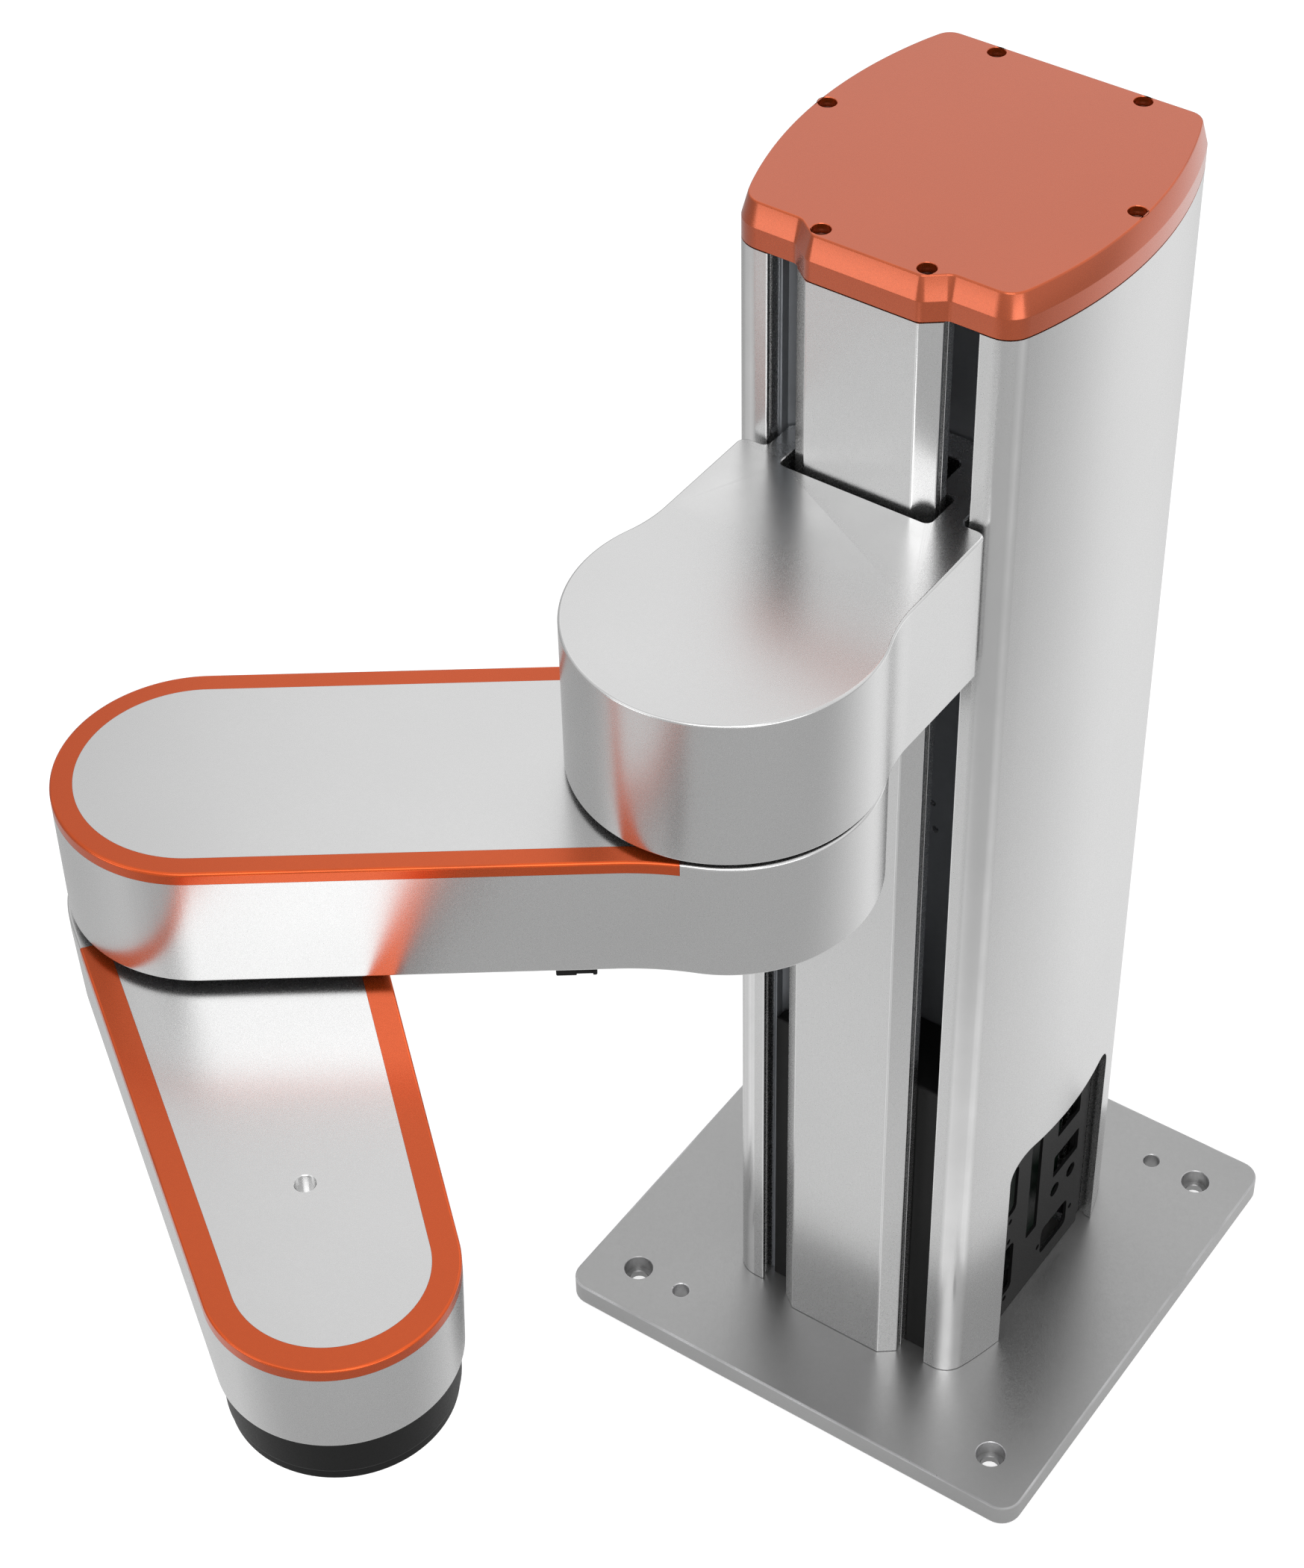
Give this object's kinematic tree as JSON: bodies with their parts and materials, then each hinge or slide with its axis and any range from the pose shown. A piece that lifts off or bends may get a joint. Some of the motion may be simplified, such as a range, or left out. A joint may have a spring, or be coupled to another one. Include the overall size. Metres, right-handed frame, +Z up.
{
  "type": "scara robot",
  "caption": "Desktop robot arm: a column with a lifting shoulder bracket, two swinging arms and a turning tool flange",
  "frame": {"origin": "the middle of the base plate's underside", "axes": "+Z is up, +X runs along the column's front to the connector side, -Y is the side on which the arms reach out"},
  "size_m": [0.344, 0.5794, 0.6256],
  "materials": {
    "blasted_aluminium": "bead-blasted satin",
    "machined_aluminium": "machined",
    "base_grey": "fine blasted",
    "orange_paint": "satin orange coating",
    "black_plastic": "matt black",
    "dark_sheet": "dark grey",
    "steel": "ground steel",
    "dark_screw": "black oxide",
    "board_green": "solder mask"
  },
  "bodies": {
    "column": {"base_plate": "base_grey", "column_shell": "blasted_aluminium", "front_spine": "blasted_aluminium", "top_cap": "orange_paint", "connector_panel": "black_plastic", "panel_bracket_back": "black_plastic", "panel_bracket_front": "black_plastic", "control_board": "board_green", "inner_channel": "dark_sheet", "home_sensor": "black_plastic", "lower_cover": "black_plastic", "z_motor_mount": "machined_aluminium", "z_motor": "black_plastic", "lower_screw_bearing": "steel", "upper_bearing_plate": "machined_aluminium", "upper_screw_bearing": "steel", "guide_rail": "steel", "cap_screw_1": "dark_screw", "cap_screw_2": "dark_screw", "cap_screw_3": "dark_screw", "cap_screw_4": "dark_screw", "cap_screw_5": "dark_screw", "cap_screw_6": "dark_screw", "board_standoff_1": "steel", "board_standoff_2": "steel", "board_standoff_3": "steel", "board_standoff_4": "steel"},
    "screw": {"ball_screw": "steel", "shaft_coupling": "machined_aluminium"},
    "carriage": {"shoulder_bracket": "blasted_aluminium", "guide_block": "steel", "block_wiper_lower": "black_plastic", "block_wiper_upper": "black_plastic", "ball_nut": "steel", "nut_bracket": "machined_aluminium", "j1_motor": "black_plastic", "j1_reducer": "steel", "j1_mount_plate": "machined_aluminium", "j1_bearing": "steel"},
    "arm1": {"arm1_housing": "blasted_aluminium", "arm1_trim": "orange_paint", "arm1_bottom_cover": "machined_aluminium", "arm1_port_block": "black_plastic", "j1_output_hub": "steel", "j2_motor": "black_plastic", "j2_reducer": "steel", "j2_bearing": "steel"},
    "arm2": {"arm2_housing": "blasted_aluminium", "arm2_trim": "orange_paint", "arm2_bottom_cover": "machined_aluminium", "j2_output_hub": "steel", "r_motor": "black_plastic", "r_reducer": "steel", "wrist_housing": "black_plastic", "r_bearing": "steel"},
    "flange": {"tool_flange": "black_plastic", "r_shaft": "steel"}
  },
  "joints": [
    {"name": "z_slide", "type": "slide", "parent": "column", "child": "carriage", "axis": [0, 0, 1], "range_m": [-0.13, 0.08]},
    {"name": "screw_spin", "type": "hinge", "parent": "column", "child": "screw", "pos_m": [0, 0.008, 0.3], "axis": [0, 0, 1], "range_deg": [-2400, 1500]},
    {"name": "j1", "type": "hinge", "parent": "carriage", "child": "arm1", "pos_m": [0, -0.167, 0.45], "axis": [0, 0, 1], "range_deg": [-36.1, 98.9]},
    {"name": "j2", "type": "hinge", "parent": "arm1", "child": "arm2", "pos_m": [-0.1618, -0.28456, 0.39], "axis": [0, 0, 1], "range_deg": [-215.6, 58.4]},
    {"name": "r_axis", "type": "hinge", "parent": "arm2", "child": "flange", "pos_m": [-0.00485, -0.40851, 0.326], "axis": [0, 0, 1], "range_deg": [-1080, 1080]}
  ],
  "couplings": [
    {"joint": "screw_spin", "follows": "z_slide", "rad_per_m": 314.16}
  ]
}
